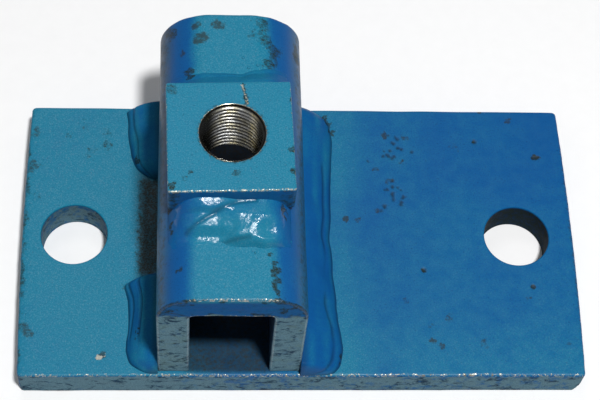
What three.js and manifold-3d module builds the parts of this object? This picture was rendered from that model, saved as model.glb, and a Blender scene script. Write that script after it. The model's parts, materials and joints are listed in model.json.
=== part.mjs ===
// Welded socket bracket: a flat base plate with two bolt holes, an inverted U channel that
// forms a socket for a bar, and a square tapped block on top of it for the clamping screw.
// Fillet welds join the three. Units are millimetres and +Z is up. The origin is the centre
// of the plate's underside, +X runs along the plate and -Y faces the front.

import * as THREE from 'three';
import { mergeVertices } from 'three/addons/utils/BufferGeometryUtils.js';
import Module from 'manifold-3d';

const wasm = await Module();
wasm.setup();

// Driving dimensions. The plate's two sheared ends bulge outwards by endBulge at the middle.
const PLATE = { width: 146, depth: 80, thickness: 10, endBulge: 0.8 };
const BOLT_HOLE = { diameter: 17.5, leftX: - 60.1, rightX: 58.4, y: 0.6 };

const CHANNEL = {
	centreX: - 19.3, width: 36.4, height: 42.4, frontY: - 38.8, rearY: 42.2,
	leg: 8, web: 9, frontRadius: 10, rearRadius: 13, innerRadius: 1.6,
};
const BLOCK = { size: 30.5, height: 8.8, x: - 20, y: 0.8, turn: THREE.MathUtils.degToRad( 1.6 ) };

// Tapped hole for an M16 x 1.5 screw, drawn at the thread's minor diameter.
const THREAD = { minorRadius: 7.2, rimRadius: 8.2, countersink: 0.9, x: - 19.45, y: 1.6, segments: 48 };

// Welds: how far a bead reaches out along each of the two faces that it joins.
const SIDE_BEAD = { out: 8.4, up: 7.6, nose: 3.5 };
const RIGHT_SPAN = [ - 40, 39.6 ];
const LEFT_FRONT_SPAN = [ - 39.2, - 11.4 ];
const LEFT_REAR_SPAN = [ 17.6, 39.6 ];
const BLOCK_BEAD = { halfWidth: 14.6, upperOut: 5.6, upperRise: 4.6, lowerOut: 9.4, lowerRise: 2.4, rearOut: 8.9 };

const CUT_GAP = 0.3;
const PLATE_CURVE_SEGMENTS = 24;
const SHOULDER_STEPS = 10;
const INNER_STEPS = 3;
const BEAD_ARC_STEPS = 6;
const NOSE_STEPS = [ 0, 0.15, 0.45, 1 ];
const NOSE_FULLNESS = 0.35;

const plateTop = PLATE.thickness;
const channelTop = plateTop + CHANNEL.height;
const blockTop = channelTop + BLOCK.height;

// Materials.
const paint = new THREE.MeshStandardMaterial( { color: 0x2f7fa8, roughness: 0.42, metalness: 0 } );
const weldPaint = new THREE.MeshStandardMaterial( { color: 0x1d5c9e, roughness: 0.36, metalness: 0 } );

// Joins a row of equal-sized rings into one closed body, capping both ends.
function loft( rings ) {

	const size = rings[ 0 ].length;
	const positions = rings.flat().flatMap( ( point ) => point.toArray() );
	const index = [];
	for ( let r = 0; r < rings.length - 1; r ++ ) {

		for ( let i = 0; i < size; i ++ ) {

			const a = r * size + i;
			const b = r * size + ( i + 1 ) % size;
			index.push( a, b, b + size, a, b + size, a + size );

		}

	}

	const outline = flattened( rings[ 0 ] );
	const clockwise = THREE.ShapeUtils.isClockWise( outline );
	const last = ( rings.length - 1 ) * size;
	for ( const triangle of THREE.ShapeUtils.triangulateShape( outline, [] ) ) {

		const [ a, b, c ] = clockwise ? triangle.reverse() : triangle;
		index.push( c, b, a, last + a, last + b, last + c );

	}

	const geometry = new THREE.BufferGeometry();
	geometry.setAttribute( 'position', new THREE.Float32BufferAttribute( positions, 3 ) );
	geometry.setIndex( index );
	return geometry;

}

// A ring lies in a plane across X or Y: drop the axis along which its points agree.
function flattened( ring ) {

	const acrossX = ring.every( ( point ) => point.x === ring[ 0 ].x );
	return ring.map( ( point ) => new THREE.Vector2( acrossX ? point.y : point.x, point.z ) );

}

function toSolid( geometry ) {

	const bare = new THREE.BufferGeometry();
	bare.setAttribute( 'position', geometry.getAttribute( 'position' ) );
	bare.setIndex( geometry.getIndex() );
	const merged = mergeVertices( bare, 1e-5 );
	const solid = new wasm.Manifold( new wasm.Mesh( {
		numProp: 3,
		vertProperties: new Float32Array( merged.getAttribute( 'position' ).array ),
		triVerts: new Uint32Array( merged.getIndex().array ),
	} ) );
	return solid.volume() < 0 ? toSolid( flipped( merged ) ) : solid;

}

function flipped( geometry ) {

	const index = Array.from( geometry.getIndex().array );
	const turned = geometry.clone();
	turned.setIndex( index.reverse() );
	return turned;

}

function toGeometry( solid ) {

	const mesh = solid.getMesh();
	const geometry = new THREE.BufferGeometry();
	geometry.setAttribute( 'position', new THREE.Float32BufferAttribute( mesh.vertProperties, 3 ) );
	geometry.setIndex( Array.from( mesh.triVerts ) );
	geometry.computeVertexNormals();
	return geometry;

}

function named( name, geometry, material ) {

	const mesh = new THREE.Mesh( geometry, material );
	mesh.name = name;
	return mesh;

}

function arc( centreX, centreZ, radius, from, to, steps ) {

	const points = [];
	for ( let i = 0; i <= steps; i ++ ) {

		const angle = from + ( to - from ) * i / steps;
		points.push( [ centreX + radius * Math.cos( angle ), centreZ + radius * Math.sin( angle ) ] );

	}

	return points;

}

// Flat bar cut to length by shearing, with the two bolt holes.
function basePlate() {

	const { width, depth, thickness, endBulge } = PLATE;
	const reach = width / 2 + 2 * endBulge;
	const outline = new THREE.Shape();
	outline.moveTo( - width / 2, - depth / 2 );
	outline.lineTo( width / 2, - depth / 2 );
	outline.quadraticCurveTo( reach, 0, width / 2, depth / 2 );
	outline.lineTo( - width / 2, depth / 2 );
	outline.quadraticCurveTo( - reach, 0, - width / 2, - depth / 2 );
	for ( const x of [ BOLT_HOLE.leftX, BOLT_HOLE.rightX ] ) {

		outline.holes.push( new THREE.Path().absarc( x, BOLT_HOLE.y, BOLT_HOLE.diameter / 2, 0, Math.PI * 2 ) );

	}

	return new THREE.ExtrudeGeometry( outline, {
		depth: thickness, bevelEnabled: false, curveSegments: PLATE_CURVE_SEGMENTS,
	} );

}

// Outline of the inverted U at one station, grown outwards by a margin when it is used as a cutter.
function channelRing( y, radius, grow ) {

	const half = CHANNEL.width / 2 + grow;
	const top = CHANNEL.height + grow;
	const inner = CHANNEL.width / 2 - CHANNEL.leg - grow;
	const ceiling = CHANNEL.height - CHANNEL.web - grow;
	const corner = radius + grow;
	const small = CHANNEL.innerRadius;
	const quarter = Math.PI / 2;
	const outline = [
		[ inner, - grow ],
		[ half, - grow ],
		...arc( half - corner, top - corner, corner, 0, quarter, SHOULDER_STEPS ),
		...arc( corner - half, top - corner, corner, quarter, 2 * quarter, SHOULDER_STEPS ),
		[ - half, - grow ],
		[ - inner, - grow ],
		...arc( small - inner, ceiling - small, small, 2 * quarter, quarter, INNER_STEPS ),
		...arc( inner - small, ceiling - small, small, quarter, 0, INNER_STEPS ),
	];
	return outline.map( ( [ x, z ] ) => new THREE.Vector3( CHANNEL.centreX + x, y, plateTop + z ) );

}

// The shoulders open out from the front end of the channel to the rear end.
function channelSolid( grow = 0 ) {

	const front = channelRing( CHANNEL.frontY - grow, CHANNEL.frontRadius, grow );
	const rear = channelRing( CHANNEL.rearY + grow, CHANNEL.rearRadius, grow );
	return toSolid( loft( [ front, rear ] ) );

}

// Drill and countersink, long enough to pass through the block and the channel's web.
function threadCutter() {

	const { minorRadius, rimRadius, countersink, segments } = THREAD;
	const over = 1;
	const bottom = plateTop + CHANNEL.height - CHANNEL.web - over;
	const slope = ( rimRadius - minorRadius ) / countersink;
	const profile = [
		new THREE.Vector2( 0, bottom ),
		new THREE.Vector2( minorRadius, bottom ),
		new THREE.Vector2( minorRadius, blockTop - countersink ),
		new THREE.Vector2( rimRadius + slope * over, blockTop + over ),
		new THREE.Vector2( 0, blockTop + over ),
	];
	const geometry = new THREE.LatheGeometry( profile, segments );
	geometry.rotateX( Math.PI / 2 );
	geometry.translate( THREAD.x, THREAD.y, 0 );
	return toSolid( geometry );

}

function blockSolid( grow = 0 ) {

	const side = BLOCK.size + 2 * grow;
	const geometry = new THREE.BoxGeometry( side, side, BLOCK.height + 2 * grow );
	geometry.rotateZ( BLOCK.turn );
	geometry.translate( BLOCK.x, BLOCK.y, channelTop + BLOCK.height / 2 );
	return toSolid( geometry );

}

function socketChannel() {

	return toGeometry( channelSolid().subtract( threadCutter() ) );

}

function tappedBlock() {

	return toGeometry( blockSolid().subtract( threadCutter() ) );

}

// Convex fillet section between two faces at right angles, from the toe on the first face to
// the toe on the second one, as [ out, up ] pairs.
function beadSection( out, up ) {

	const crown = 0.12;
	const points = [ [ 0, 0 ] ];
	for ( let i = 0; i <= BEAD_ARC_STEPS; i ++ ) {

		const t = i / BEAD_ARC_STEPS;
		const bulge = crown * Math.sin( Math.PI * t );
		points.push( [ out * ( 1 - t + bulge ), up * ( t + bulge ) ] );

	}

	return points;

}

// Fillet bead along one side of the channel: side is 1 on the right and -1 on the left.
function sideBead( side, [ startY, endY ] ) {

	const { out, up, nose } = SIDE_BEAD;
	const wall = CHANNEL.centreX + side * CHANNEL.width / 2;
	const fromStart = NOSE_STEPS.map( ( t ) => startY + nose * t );
	const toEnd = NOSE_STEPS.map( ( t ) => endY - nose * t ).reverse();
	const rings = [ ...fromStart, ...toEnd ].map( ( y ) => {

		const t = Math.min( y - startY, endY - y, nose ) / nose;
		const fullness = NOSE_FULLNESS + ( 1 - NOSE_FULLNESS ) * Math.sqrt( t * ( 2 - t ) );
		return beadSection( out * fullness, up * fullness )
			.map( ( [ x, z ] ) => new THREE.Vector3( wall + side * x, y, plateTop + z ) );

	} );
	return toGeometry( toSolid( loft( rings ) ) );

}

// How far the channel's outer surface lies below its top, at a distance from its centre line.
function shoulderDrop( offset ) {

	const radius = ( CHANNEL.frontRadius + CHANNEL.rearRadius ) / 2;
	const past = Math.max( 0, Math.abs( offset ) - ( CHANNEL.width / 2 - radius ) );
	return radius - Math.sqrt( Math.max( 0, radius ** 2 - past ** 2 ) );

}

// Bead across the channel's top, against the block's front face (direction -1) or rear face (1).
function blockBead( direction, out, rise, grow = 0 ) {

	const { halfWidth } = BLOCK_BEAD;
	const faceY = BLOCK.y + direction * BLOCK.size / 2;
	const hidden = 2;
	const below = 8;
	const steps = 12;
	const rings = [];
	for ( let i = 0; i <= steps; i ++ ) {

		const offset = ( halfWidth + grow ) * Math.sin( Math.PI * ( i / steps - 0.5 ) );
		const fullness = 0.55 + 0.45 * Math.sqrt( 1 - ( offset / ( halfWidth + grow ) ) ** 2 );
		const surface = channelTop - shoulderDrop( offset );
		const top = channelTop + rise + grow;
		const section = beadSection( ( out + grow ) * fullness, top - surface ).slice( 1 );
		const outline = [ [ - hidden, - below ], [ section[ 0 ][ 0 ], - below ], ...section, [ - hidden, top - surface ] ];
		rings.push( outline.map( ( [ y, z ] ) => new THREE.Vector3(
			BLOCK.x + offset, faceY + direction * y, surface + z,
		) ) );

	}

	return toSolid( loft( rings ) );

}

function trimmedBlockBead( bead ) {

	return bead.subtract( channelSolid( CUT_GAP ) ).subtract( blockSolid( CUT_GAP ) );

}

const bracket = new THREE.Group();

bracket.add( named( 'base_plate', basePlate(), paint ) );
bracket.add( named( 'socket_channel', socketChannel(), paint ) );
bracket.add( named( 'tapped_block', tappedBlock(), paint ) );

bracket.add( named( 'weld_right', sideBead( 1, RIGHT_SPAN ), weldPaint ) );
bracket.add( named( 'weld_left_front', sideBead( - 1, LEFT_FRONT_SPAN ), weldPaint ) );
bracket.add( named( 'weld_left_rear', sideBead( - 1, LEFT_REAR_SPAN ), weldPaint ) );

const { upperOut, upperRise, lowerOut, lowerRise, rearOut } = BLOCK_BEAD;
const upperPass = trimmedBlockBead( blockBead( - 1, upperOut, upperRise ) );
const lowerPass = trimmedBlockBead( blockBead( - 1, lowerOut, lowerRise ) )
	.subtract( blockBead( - 1, upperOut, upperRise, CUT_GAP ) );
const rearPass = trimmedBlockBead( blockBead( 1, rearOut, upperRise ) );
bracket.add( named( 'weld_block_front_upper', toGeometry( upperPass ), weldPaint ) );
bracket.add( named( 'weld_block_front_lower', toGeometry( lowerPass ), weldPaint ) );
bracket.add( named( 'weld_block_rear', toGeometry( rearPass ), weldPaint ) );

export default bracket;
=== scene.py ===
"""Welded socket bracket: base plate, inverted U channel, tapped block and their weld beads.

The pieces are fine meshes over the CAD nodes that they stand for. Places and sizes are in
millimetres, in the frame's own axes: +X runs along the plate, -Y is the front and +Z is up.
new_piece turns them to metres.
"""
import itertools
import json
import math

import bmesh
import bpy
import numpy as np
from mathutils import Matrix, Vector
from mathutils.geometry import delaunay_2d_cdt


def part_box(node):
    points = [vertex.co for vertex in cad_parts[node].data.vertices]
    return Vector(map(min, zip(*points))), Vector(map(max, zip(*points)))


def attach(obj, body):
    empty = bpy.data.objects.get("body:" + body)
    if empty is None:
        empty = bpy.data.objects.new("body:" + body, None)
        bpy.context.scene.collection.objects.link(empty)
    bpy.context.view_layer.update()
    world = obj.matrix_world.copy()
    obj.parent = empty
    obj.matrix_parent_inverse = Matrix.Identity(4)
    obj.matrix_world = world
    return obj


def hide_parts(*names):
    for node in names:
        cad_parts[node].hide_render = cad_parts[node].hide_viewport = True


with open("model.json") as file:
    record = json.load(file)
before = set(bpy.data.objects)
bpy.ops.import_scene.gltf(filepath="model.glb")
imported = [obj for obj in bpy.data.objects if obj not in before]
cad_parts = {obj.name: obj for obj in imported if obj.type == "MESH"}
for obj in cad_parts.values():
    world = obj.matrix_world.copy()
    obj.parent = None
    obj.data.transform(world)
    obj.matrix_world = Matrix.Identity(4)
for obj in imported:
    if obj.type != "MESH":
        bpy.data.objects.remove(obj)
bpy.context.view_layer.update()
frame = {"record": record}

MM = 0.001


def box_mm(node):
    """Low and high corners of a CAD node's box, in millimetres."""
    low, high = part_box(node)
    return np.array(low) / MM, np.array(high) / MM


def opening_mm(name):
    """Centre of one of the record's openings, in millimetres."""
    for opening in frame["record"]["physics"]["openings"]:
        if opening["name"] == name:
            return np.mean(opening["box_m"], axis=0) / MM
    raise KeyError(name)


# ---------------- sizes from the frame

PLATE_LOW, PLATE_HIGH = box_mm("base_plate")
CHANNEL_LOW, CHANNEL_HIGH = box_mm("socket_channel")
BLOCK_LOW, BLOCK_HIGH = box_mm("tapped_block")
PLATE_END = PLATE_HIGH[0]
PLATE_FRONT = PLATE_LOW[1]
PLATE_TOP = PLATE_HIGH[2]
CHANNEL_FRONT, CHANNEL_REAR = CHANNEL_LOW[1], CHANNEL_HIGH[1]
CHANNEL_TOP = CHANNEL_HIGH[2]
BLOCK_TOP = BLOCK_HIGH[2]
CHANNEL_X = (CHANNEL_LOW[0] + CHANNEL_HIGH[0]) / 2
HALF_WIDTH = (CHANNEL_HIGH[0] - CHANNEL_LOW[0]) / 2
BLOCK_CENTRE = (BLOCK_LOW[:2] + BLOCK_HIGH[:2]) / 2
HOLE_CENTRES = [opening_mm("bolt_hole_left")[:2], opening_mm("bolt_hole_right")[:2]]
THREAD_CENTRE = opening_mm("tapped_hole")[:2]

# Sizes that the frame's boxes don't hold, as in the CAD.
END_BULGE = 0.8
BOLT_RADIUS = 8.75
LEG = 8.0
WEB = 9.0
FRONT_RADIUS = 10.0
REAR_RADIUS = 13.0
INNER_RADIUS = 1.6
BLOCK_SIZE = 30.5
BLOCK_TURN = math.radians(1.6)
THREAD_PITCH = 1.5
THREAD_MAJOR = 8.0
THREAD_MINOR = 7.19
RIM_RADIUS = 8.2
CEILING = CHANNEL_TOP - WEB

# Rounded edges, and corners seen from above.
PLATE_EDGE = 0.6
PLATE_CORNER = 1.0
BOLT_HOLE_EDGE = 0.35
CHANNEL_EDGE = 0.6
BLOCK_EDGE = 0.4
BLOCK_CORNER = 0.6

# The thread's groove, in pitches: half its flat floor and half its open side. The hole's mouth
# is a cone; its slope is how much its radius grows for each millimetre up.
GROOVE_FLOOR = 0.125
GROOVE_OPEN = 0.4375
MOUTH_SLOPE = 1.1

# How finely the holes and walls are divided.
BOLT_HOLE_POINTS = 144
THREAD_POINTS = 160
BLOCK_THREAD_RINGS = 81
WEB_THREAD_RINGS = 73
WALL_ROWS = 18
CHANNEL_RINGS = 150
BEAD_STEPS = (260, 56)
BLOCK_WELD_STEPS = (200, 90)


# ---------------- repeatable noise


HASH_RANGE = 0x7FFFFFFF


def lattice(cell, seed):
    """A repeatable value from -1 to 1 for each whole-numbered cell, by mixing up its bits."""
    n = (cell @ np.array([73856093, 19349663, 83492791]) + seed * 7919) & HASH_RANGE
    for shift, factor in ((13, 1274126177), (15, 461845907)):
        n = ((n ^ (n >> shift)) * factor) & HASH_RANGE
    return (n ^ (n >> 16)) / (HASH_RANGE >> 1) - 1


def noise(points, size, seed=0):
    """Smooth noise from -1 to 1 whose features are about size millimetres across."""
    place = np.asarray(points, float) / size
    base = np.floor(place).astype(np.int64)
    t = place - base
    t = t * t * (3 - 2 * t)
    total = np.zeros(len(place))
    for corner in itertools.product((0, 1), repeat=3):
        weight = np.prod(np.where(corner, t, 1 - t), axis=1)
        total += weight * lattice(base + np.array(corner), seed)
    return total


def fractal(points, size, octaves=3, seed=0):
    """Noise with finer and fainter octaves on top."""
    return sum(noise(points, size / 2**o, seed + o) / 2**o for o in range(octaves))


def ramp(low, high, value):
    """0 at low, 1 at high, and a smooth rise between; low may be the greater."""
    t = np.clip((value - low) / (high - low), 0, 1)
    return t * t * (3 - 2 * t)


def blotch(points, centre, radius, seed):
    """1 inside a ragged spot, falling to 0 outside it."""
    away = np.linalg.norm(points - np.array(centre), axis=1) / radius
    return ramp(1.15, 0.75, away + 0.6 * fractal(points, radius, 3, seed))


def on_line(values):
    """Points on a straight line, for noise that only changes along it."""
    return np.column_stack([values, np.zeros_like(values), np.zeros_like(values)])


def smoothed(values, width):
    """A row of values averaged over a rounded window, which is an odd number of them wide."""
    window_shape = np.hanning(width) / np.hanning(width).sum()
    return np.convolve(np.pad(values, width // 2, mode="edge"), window_shape, mode="valid")


# ---------------- mesh building


class Shell:
    """Collects points and the faces between them. A face's zone picks its material."""

    def __init__(self):
        self.parts = []
        self.faces = []
        self.zones = []
        self.count = 0

    def add(self, points):
        start = self.count
        self.parts.append(np.asarray(points, float))
        self.count += len(points)
        return np.arange(start, self.count)

    @property
    def points(self):
        return np.concatenate(self.parts)

    def bridge(self, first, second, zone=0):
        """Quads between two closed rings of equal size."""
        a, b = np.roll(first, -1), np.roll(second, -1)
        self.faces += np.stack([first, a, b, second], axis=1).tolist()
        self.zones += [zone] * len(first)

    def stack(self, rings, zone=0):
        """Bridges each ring to the next."""
        for upper, lower in itertools.pairwise(rings):
            self.bridge(upper, lower, zone)

    def fill(self, outer, holes, spacing, axes=(0, 1), height=None, zone=0):
        """Triangles between an outer loop and its holes, over a loose grid of new points.

        axes are the two coordinates that the region is flat in. height gives the third one
        for a new point; without it, the outer loop's own value is used.
        """
        points = self.points
        loops = [points[ring][:, axes] for ring in (outer, *holes)]
        inner = loose_grid(loops, spacing)
        third = 3 - sum(axes)
        new = np.zeros((len(inner), 3))
        new[:, axes] = inner
        new[:, third] = points[outer][:, third].mean() if height is None else height(new)
        inner_index = self.add(new)
        index = np.concatenate([*(outer, *holes), inner_index])
        flat = np.concatenate([*loops, inner])
        edges = []
        start = 0
        for loop in loops:
            ring = np.arange(start, start + len(loop))
            edges += np.stack([ring, np.roll(ring, -1)], axis=1).tolist()
            start += len(loop)
        result = delaunay_2d_cdt([Vector(p) for p in flat], edges, [], 1, 1e-7)
        triangles = np.array(result[2])
        middles = flat[triangles].mean(axis=1)
        keep = inside(middles, loops[0])
        for loop in loops[1:]:
            keep &= ~inside(middles, loop)
        kept = index[triangles[keep]].tolist()
        self.faces += kept
        self.zones += [zone] * len(kept)


# How many points are compared with a loop at once.
CHUNK = 4096


def inside(points, loop):
    """Which points lie inside a closed loop, by counting crossings."""
    after = np.roll(loop, -1, axis=0)
    rise = after[:, 1] - loop[:, 1]
    slope = (after[:, 0] - loop[:, 0]) / np.where(rise == 0, 1, rise)
    found = []
    for part in np.array_split(points, max(1, len(points) // CHUNK)):
        x, y = part[:, :1], part[:, 1:]
        crosses = (loop[:, 1] > y) != (after[:, 1] > y)
        at = loop[:, 0] + (y - loop[:, 1]) * slope
        found.append(np.sum(crosses & (x < at), axis=1) % 2 == 1)
    return np.concatenate(found)


def clear_of(points, loop, distance):
    """Which points are at least a distance away from a loop's own points."""
    found = []
    for part in np.array_split(points, max(1, len(points) // CHUNK)):
        gaps = np.linalg.norm(part[:, None, :] - loop[None, :, :], axis=2)
        found.append(gaps.min(axis=1) > distance)
    return np.concatenate(found)


def loose_grid(loops, spacing):
    """A staggered, slightly shaken grid of points inside the first loop and outside the rest."""
    low, high = loops[0].min(axis=0), loops[0].max(axis=0)
    xs = np.arange(low[0], high[0], spacing)
    ys = np.arange(low[1], high[1], spacing * 0.87)
    grid = np.array([(x + spacing / 2 * (j % 2), y) for j, y in enumerate(ys) for x in xs])
    grid += np.random.default_rng(5).uniform(-0.15, 0.15, grid.shape) * spacing
    grid = grid[inside(grid, loops[0])]
    for loop in loops[1:]:
        grid = grid[~inside(grid, loop)]
    for loop in loops:
        grid = grid[clear_of(grid, loop, spacing * 0.6)]
    return grid


def new_object(name, data):
    thing = bpy.data.objects.new(name, data)
    bpy.context.scene.collection.objects.link(thing)
    return thing


def new_piece(name, shell, points, materials, nodes, masks):
    """Writes a shell as a smooth-shaded object that stands for CAD nodes.

    points are the shell's own, moved by wear or not. masks are values from 0 to 1 at the
    points, which the materials read by name.
    """
    mesh = bpy.data.meshes.new(name)
    mesh.from_pydata((points * MM).tolist(), [], shell.faces)
    for material in materials:
        mesh.materials.append(material)
    mesh.polygons.foreach_set("material_index", np.array(shell.zones, np.int32))
    mesh.polygons.foreach_set("use_smooth", np.ones(len(mesh.polygons), bool))
    for mask, values in masks.items():
        layer = mesh.attributes.new(mask, "FLOAT", "POINT")
        layer.data.foreach_set("value", np.clip(values, 0, 1).astype(np.float32))
    work = bmesh.new()
    work.from_mesh(mesh)
    loose = [v for v in work.verts if not v.link_faces]
    bmesh.ops.delete(work, geom=loose, context="VERTS")
    bmesh.ops.recalc_face_normals(work, faces=work.faces)
    work.to_mesh(mesh)
    work.free()
    piece = new_object(name, mesh)
    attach(piece, "root")
    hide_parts(*nodes)
    return piece


def rounded_rectangle(width, depth, radius, spacing):
    """Loop of points and outward normals round a rectangle with rounded corners."""
    points, normals = [], []
    corner_steps = max(3, round(radius * math.pi / 2 / spacing))
    sides = [(1, -1, 0.0, depth), (1, 1, 0.5, width), (-1, 1, 1.0, depth), (-1, -1, 1.5, width)]
    for sign_x, sign_y, quarter, length in sides:
        # Along one side, then round the corner at its end.
        out = np.array([math.cos(quarter * math.pi), math.sin(quarter * math.pi)])
        along = np.array([-out[1], out[0]])
        corner = np.array([sign_x * (width / 2 - radius), sign_y * (depth / 2 - radius)])
        straight = length - 2 * radius
        steps = round(straight / spacing)
        for t in np.arange(steps) / steps:
            points.append(corner + out * radius + along * straight * t)
            normals.append(out)
        centre = corner + along * straight
        for t in np.arange(corner_steps) / corner_steps:
            angle = (quarter + t / 2) * math.pi
            normals.append(np.array([math.cos(angle), math.sin(angle)]))
            points.append(centre + normals[-1] * radius)
    return np.array(points), np.array(normals)


def edge_turn(edge):
    """Steps round a rounded edge: how far each is from the wall, and from the face above."""
    turn = np.linspace(0, math.pi / 2, 5)
    return [(edge * (1 - math.sin(a)), edge * (1 - math.cos(a))) for a in turn]


def wall_rings(shell, loop, normals, bottom, top, edge):
    """Rings down a wall whose top and bottom edges are rounded, top first."""
    upper = [(inset, top - drop) for inset, drop in edge_turn(edge)]
    wall = [(0, z) for z in np.linspace(top - edge, bottom + edge, WALL_ROWS + 2)[1:-1]]
    lower = [(inset, bottom + top - z) for inset, z in reversed(upper)]
    rings = []
    for inset, z in upper + wall + lower:
        rings.append(shell.add(np.column_stack([loop - normals * inset, np.full(len(loop), z)])))
    return rings


def grid_cells(grid):
    """The four corners of each cell of a grid of point numbers."""
    return np.stack([grid[:-1, :-1], grid[:-1, 1:], grid[1:, 1:], grid[1:, :-1]], axis=-1)


def circle(count):
    """Points round a circle of radius 1."""
    angle = np.arange(count) / count * 2 * math.pi
    return np.column_stack([np.cos(angle), np.sin(angle)])


def thread_radius(angle, z):
    """Wall radius of the right-hand internal thread, with its countersunk mouth."""
    turn = np.mod((z - BLOCK_TOP) / THREAD_PITCH - angle / (2 * math.pi), 1.0)
    from_middle = np.abs(turn - 0.5)
    depth = np.clip((GROOVE_OPEN - from_middle) / (GROOVE_OPEN - GROOVE_FLOOR), 0, 1)
    wall = THREAD_MINOR + (THREAD_MAJOR - THREAD_MINOR) * depth
    cone = RIM_RADIUS - (BLOCK_TOP - z) * MOUTH_SLOPE
    return np.maximum(wall, cone)


def from_thread(points):
    """Distance from the tapped hole's axis."""
    return np.hypot(points[:, 0] - THREAD_CENTRE[0], points[:, 1] - THREAD_CENTRE[1])


def thread_shade(points):
    """Painted shade in the thread: in its grooves, and at the left and right of the hole."""
    reach = from_thread(points)
    # Painted shade deep in the grooves, and on the hole's left and right sides.
    deep = 0.97 * ramp(THREAD_MINOR + 0.2, THREAD_MAJOR - 0.15, reach)
    aside = (points[:, 0] - THREAD_CENTRE[0]) / THREAD_MAJOR
    side_shade = np.maximum(0.93 * ramp(0.30, 0.72, -aside), 0.88 * ramp(0.42, 0.86, aside))
    return np.maximum(deep, side_shade) * (reach < THREAD_MAJOR + 0.01)


def thread_ring(z):
    """Points round the tapped hole's wall at a height, or at a height for each point."""
    directions = circle(THREAD_POINTS)
    angle = np.arctan2(directions[:, 1], directions[:, 0])
    flat = THREAD_CENTRE + directions * thread_radius(angle, z)[:, None]
    return np.column_stack([flat, np.broadcast_to(z, THREAD_POINTS)])


# ---------------- materials


class Nodes:
    """Shorthand for building one material's node tree."""

    def __init__(self, name):
        self.material = bpy.data.materials.new(name)
        self.material.use_nodes = True
        self.tree = self.material.node_tree
        self.shader = self.tree.nodes["Principled BSDF"]
        self.place = self.new("ShaderNodeNewGeometry").outputs["Position"]

    def new(self, kind, **inputs):
        """A new node with its inputs linked or set. An input's name has _ for each space."""
        node = self.tree.nodes.new(kind)
        self.fill_in(node, **inputs)
        return node

    def fill_in(self, node, **inputs):
        """Links or sets a node's inputs."""
        for name, value in inputs.items():
            self.put(value, node.inputs[name.replace("_", " ")])

    def put(self, value, socket):
        """Links a socket, or sets a plain value."""
        if isinstance(value, bpy.types.NodeSocket):
            self.tree.links.new(value, socket)
        else:
            socket.default_value = value

    def math(self, operation, a, b):
        node = self.new("ShaderNodeMath")
        node.operation = operation
        self.put(a, node.inputs[0])
        self.put(b, node.inputs[1])
        return node.outputs[0]

    def noise(self, size, detail=3.0, roughness=0.5, distortion=0.0, stretch=(1, 1, 1)):
        """Noise whose features are about size millimetres across."""
        scale = [s / (size * MM) for s in stretch]
        mapping = self.new("ShaderNodeMapping", Vector=self.place, Scale=scale)
        node = self.new(
            "ShaderNodeTexNoise", Vector=mapping.outputs["Vector"], Scale=1.0, Detail=detail,
            Roughness=roughness, Distortion=distortion,
        )
        return node.outputs["Fac"]

    def mask(self, name):
        """One of the masks that new_piece wrote on the mesh."""
        node = self.new("ShaderNodeAttribute")
        node.attribute_name = name
        return node.outputs["Fac"]

    def span(self, value, low, high, to_low=0.0, to_high=1.0):
        """Carries a value's span from low to high over to another span, smoothly."""
        node = self.new("ShaderNodeMapRange")
        node.interpolation_type = "SMOOTHSTEP"
        for v, socket in zip((value, low, high, to_low, to_high), node.inputs):
            self.put(v, socket)
        return node.outputs[0]

    def shaken(self, value, texture, low, high, amount):
        """A value moved down or up by as much as amount where a texture is low or high."""
        return self.math("ADD", value, self.span(texture, low, high, -amount, amount))

    def mix(self, factor, a, b):
        """Goes from colour a to colour b as the factor goes from 0 to 1."""
        node = self.new("ShaderNodeMix")
        node.data_type = "RGBA"
        colour_inputs = [s for s in node.inputs if s.type == "RGBA"]
        self.put(factor, node.inputs[0])
        self.put(a, colour_inputs[0])
        self.put(b, colour_inputs[1])
        return [s for s in node.outputs if s.type == "RGBA"][0]

    def bump(self, height, distance, strength, normal=None):
        """A normal for bumps of distance millimetres, over another normal if one is given."""
        node = self.new("ShaderNodeBump", Strength=strength, Distance=distance * MM, Height=height)
        if normal is not None:
            self.fill_in(node, Normal=normal)
        return node.outputs["Normal"]


def rgb(red, green, blue):
    return (red, green, blue, 1.0)


# Paint from light to dark, then what lies on it or shows through it.
# Teal goes on flat tops and blue on slopes and walls: the paint's tone, and painted shade too.
TEAL = rgb(0.010, 0.178, 0.285)
BLUE = rgb(0.004, 0.081, 0.260)
DEEP = rgb(0.003, 0.030, 0.110)
# Dirt, and painted shade too: in the socket, on the channel's side walls, in the bolt holes and
# thread.
GRIME_AND_SHADE = rgb(0.013, 0.022, 0.015)
# Painted shade: inside the channel and the socket, in the right bolt hole and at weld toes, ends
# and creases.
PAINTED_SHADE = rgb(0.008, 0.016, 0.028)
FILM = rgb(0.130, 0.235, 0.265)
SCALE = rgb(0.012, 0.028, 0.036)
RUST = rgb(0.022, 0.022, 0.012)
# Chalky dust, laid more where the paint is teal, where it also lightens flat tops as a painted
# sheen.
CHALK_AND_SHEEN = rgb(0.420, 0.480, 0.470)
# Bare steel of chips and worn edges; along the top front edges it also paints a highlight.
BARE_STEEL_AND_HIGHLIGHT = rgb(0.430, 0.440, 0.390)
BRONZE = rgb(0.250, 0.190, 0.095)
STEEL = rgb(0.86, 0.87, 0.86)
OILY_STEEL = rgb(0.58, 0.52, 0.32)
DARK_STREAK = rgb(0.10, 0.09, 0.08)
# Painted shade in the thread's grooves and at the hole's left and right.
SHADED_THREAD = rgb(0.015, 0.018, 0.018)


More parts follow.
